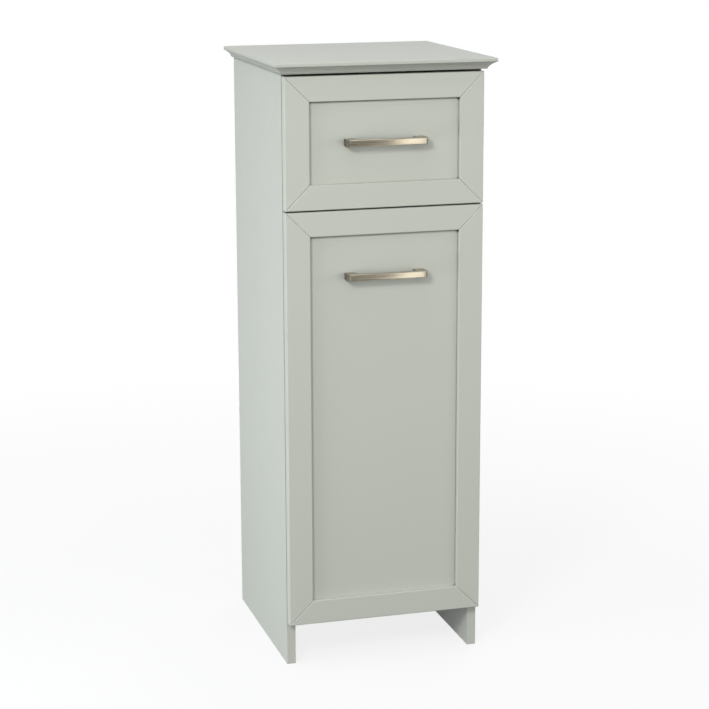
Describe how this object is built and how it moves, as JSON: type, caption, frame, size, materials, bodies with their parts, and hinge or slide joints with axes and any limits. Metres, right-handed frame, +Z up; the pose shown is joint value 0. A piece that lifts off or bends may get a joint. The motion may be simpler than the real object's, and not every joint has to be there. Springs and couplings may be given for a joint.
{
  "type": "bathroom cabinet",
  "caption": "Narrow floor-standing bathroom cabinet with a moulded top, a drawer on roller runners and a framed lower front that tilts forward with a laundry bag.",
  "frame": {"origin": "on the floor, under the middle of the cabinet's outline", "axes": "+Z up; the front faces -Y and the back faces +Y; +X is to the right seen from the front"},
  "size_m": [0.3, 0.3, 0.82],
  "materials": {
    "sage_paint": "satin sage-grey paint on fibreboard",
    "white_foil": "matt white foil on fibreboard",
    "beech": "bare fluted beech",
    "handle_nickel": "warm brushed nickel",
    "zinc_steel": "bright zinc plating",
    "magnet": "dark magnet between steel pole plates",
    "runner_coat": "white epoxy coat",
    "nylon": "white nylon",
    "catch_plastic": "white moulded plastic",
    "bumper": "clear soft dots",
    "bag_cloth": "natural cotton canvas"
  },
  "bodies": {
    "carcass": {"top_board": "sage_paint", "side_board_left": "sage_paint", "side_board_right": "sage_paint", "bottom_board": "sage_paint", "divider_board": "sage_paint", "back_panel": "white_foil", "stop_rail": "sage_paint", "cam_locks": "zinc_steel", "cam_bolts": "zinc_steel", "wood_dowels": "beech", "back_panel_pins": "zinc_steel", "catch_housing": "catch_plastic", "catch_magnet": "magnet", "runner_left": "runner_coat", "runner_right": "runner_coat", "hinge_base_left": "zinc_steel", "hinge_base_right": "zinc_steel", "hinge_pin_left": "zinc_steel", "hinge_pin_right": "zinc_steel", "carcass_screws": "zinc_steel", "front_bumpers": "bumper"},
    "drawer": {"drawer_rail_top": "sage_paint", "drawer_rail_bottom": "sage_paint", "drawer_stile_left": "sage_paint", "drawer_stile_right": "sage_paint", "drawer_panel": "sage_paint", "drawer_inner_front": "white_foil", "drawer_side_left": "white_foil", "drawer_side_right": "white_foil", "drawer_back": "white_foil", "drawer_bottom": "white_foil", "drawer_slide_left": "runner_coat", "drawer_slide_right": "runner_coat", "drawer_screws": "zinc_steel", "drawer_box_screws": "zinc_steel", "drawer_handle": "handle_nickel", "drawer_handle_screws": "zinc_steel"},
    "hamper": {"hamper_rail_top": "sage_paint", "hamper_rail_bottom": "sage_paint", "hamper_stile_left": "sage_paint", "hamper_stile_right": "sage_paint", "hamper_panel": "sage_paint", "hamper_side_left": "white_foil", "hamper_side_right": "white_foil", "hamper_cams": "zinc_steel", "hamper_cam_bolts": "zinc_steel", "hamper_dowels": "beech", "bag_rods": "zinc_steel", "laundry_bag": "bag_cloth", "hamper_handle": "handle_nickel", "hamper_handle_screws": "zinc_steel", "hinge_leaf_left": "zinc_steel", "hinge_leaf_right": "zinc_steel", "strike_plate": "zinc_steel", "hamper_screws": "zinc_steel"},
    "front_roller_left": {"roller_front_left": "nylon"},
    "front_roller_right": {"roller_front_right": "nylon"},
    "rear_roller_left": {"roller_rear_left": "nylon"},
    "rear_roller_right": {"roller_rear_right": "nylon"}
  },
  "joints": [
    {"name": "drawer_slide", "type": "slide", "parent": "carcass", "child": "drawer", "axis": [0, -1, 0], "range_m": [0, 0.19]},
    {"name": "hamper_tilt", "type": "hinge", "parent": "carcass", "child": "hamper", "pos_m": [0, -0.121, 0.06], "axis": [1, 0, 0], "range_deg": [0, 22]},
    {"name": "front_roller_left_spin", "type": "hinge", "parent": "carcass", "child": "front_roller_left", "pos_m": [-0.11775, -0.108, 0.6465], "axis": [1, 0, 0], "continuous": true},
    {"name": "front_roller_right_spin", "type": "hinge", "parent": "carcass", "child": "front_roller_right", "pos_m": [0.11775, -0.108, 0.6465], "axis": [1, 0, 0], "continuous": true},
    {"name": "rear_roller_left_spin", "type": "hinge", "parent": "drawer", "child": "rear_roller_left", "pos_m": [-0.11775, 0.118, 0.6465], "axis": [1, 0, 0], "continuous": true},
    {"name": "rear_roller_right_spin", "type": "hinge", "parent": "drawer", "child": "rear_roller_right", "pos_m": [0.11775, 0.118, 0.6465], "axis": [1, 0, 0], "continuous": true}
  ],
  "couplings": [
    {"joint": "front_roller_left_spin", "follows": "drawer_slide", "rad_per_m": 111.11},
    {"joint": "front_roller_right_spin", "follows": "drawer_slide", "rad_per_m": 111.11},
    {"joint": "rear_roller_left_spin", "follows": "drawer_slide", "rad_per_m": 111.11},
    {"joint": "rear_roller_right_spin", "follows": "drawer_slide", "rad_per_m": 111.11}
  ]
}
